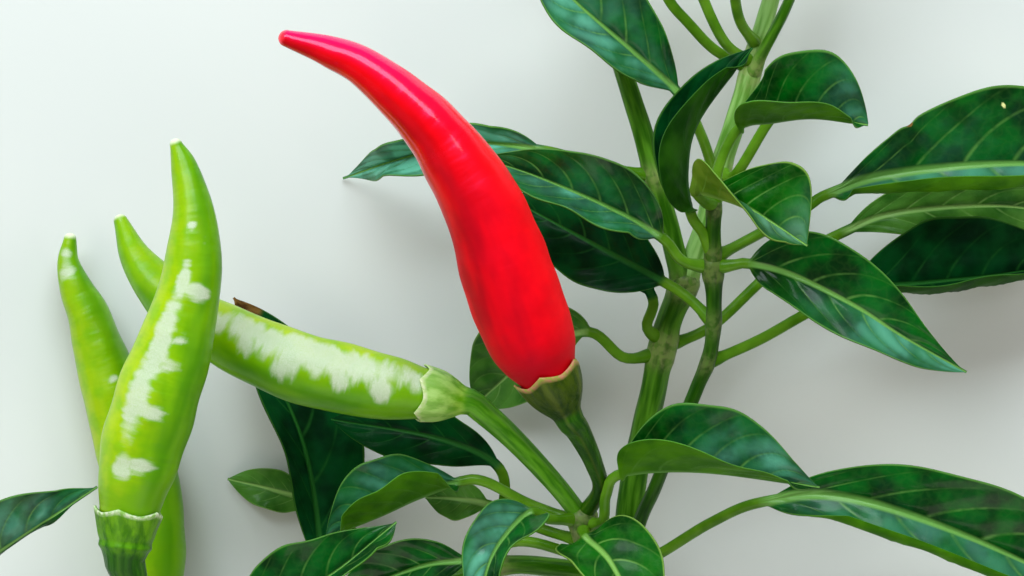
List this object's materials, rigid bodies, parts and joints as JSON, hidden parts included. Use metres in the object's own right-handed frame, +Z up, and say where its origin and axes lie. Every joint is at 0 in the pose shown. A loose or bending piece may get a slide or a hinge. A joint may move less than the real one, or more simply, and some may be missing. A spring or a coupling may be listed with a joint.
{
  "type": "cut chilli pepper branch",
  "caption": "Cut, lying chilli pepper branch with a ripe red chilli, green chillies in toothed calyxes, forked stems and pointed glossy leaves.",
  "frame": {"origin": "on the level surface that the branch lies on, under the middle of its bounding box", "axes": "+Z up from that surface, +Y away from the cut end of the main stem, +X to the right across the branch"},
  "size_m": [0.1826, 0.1234, 0.0477],
  "materials": {
    "stem": "satin",
    "leaf": "satin",
    "ripe_fruit": "gloss",
    "green_fruit": "gloss",
    "calyx": "satin"
  },
  "bodies": {
    "root": {"main_stem": "stem", "right_stem": "stem", "left_stem": "stem", "front_stem": "stem", "young_shoot": "stem", "side_shoot": "stem", "fruiting_twig": "stem", "lower_left_branch": "stem", "ripe_fruit": "ripe_fruit", "ripe_fruit_stalk": "calyx", "front_green_fruit": "green_fruit", "front_green_fruit_stalk": "calyx", "left_green_fruit": "green_fruit", "left_green_fruit_stalk": "calyx", "lying_green_fruit": "green_fruit", "lying_green_fruit_stalk": "calyx", "leaf_crown_right": "leaf", "leaf_crown_front": "leaf", "leaf_crown_left": "leaf", "leaf_crown_back": "leaf", "leaf_top_broad": "leaf", "leaf_top_pale": "leaf", "leaf_top_middle": "leaf", "leaf_top_right": "leaf", "leaf_left_front": "leaf", "leaf_left_back": "leaf", "leaf_left_dark": "leaf", "leaf_left_pale": "leaf", "leaf_left_small": "leaf", "leaf_withered_tip": "leaf", "leaf_low_back": "leaf", "leaf_low_folded": "leaf", "leaf_low_pale": "leaf", "leaf_low_small": "leaf", "leaf_low_flat": "leaf", "leaf_foot_right": "leaf", "leaf_foot_left": "leaf", "leaf_foot_outer": "leaf", "leaf_right_broad": "leaf", "leaf_right_low": "leaf", "leaf_right_dark": "leaf", "leaf_right_front": "leaf", "leaf_right_foot": "leaf", "leaf_middle": "leaf", "leaf_outer_left": "leaf", "leaf_outer_end": "leaf", "leaf_end_right": "leaf", "leaf_end_left": "leaf", "leaf_end_side": "leaf"}
  },
  "joints": []
}
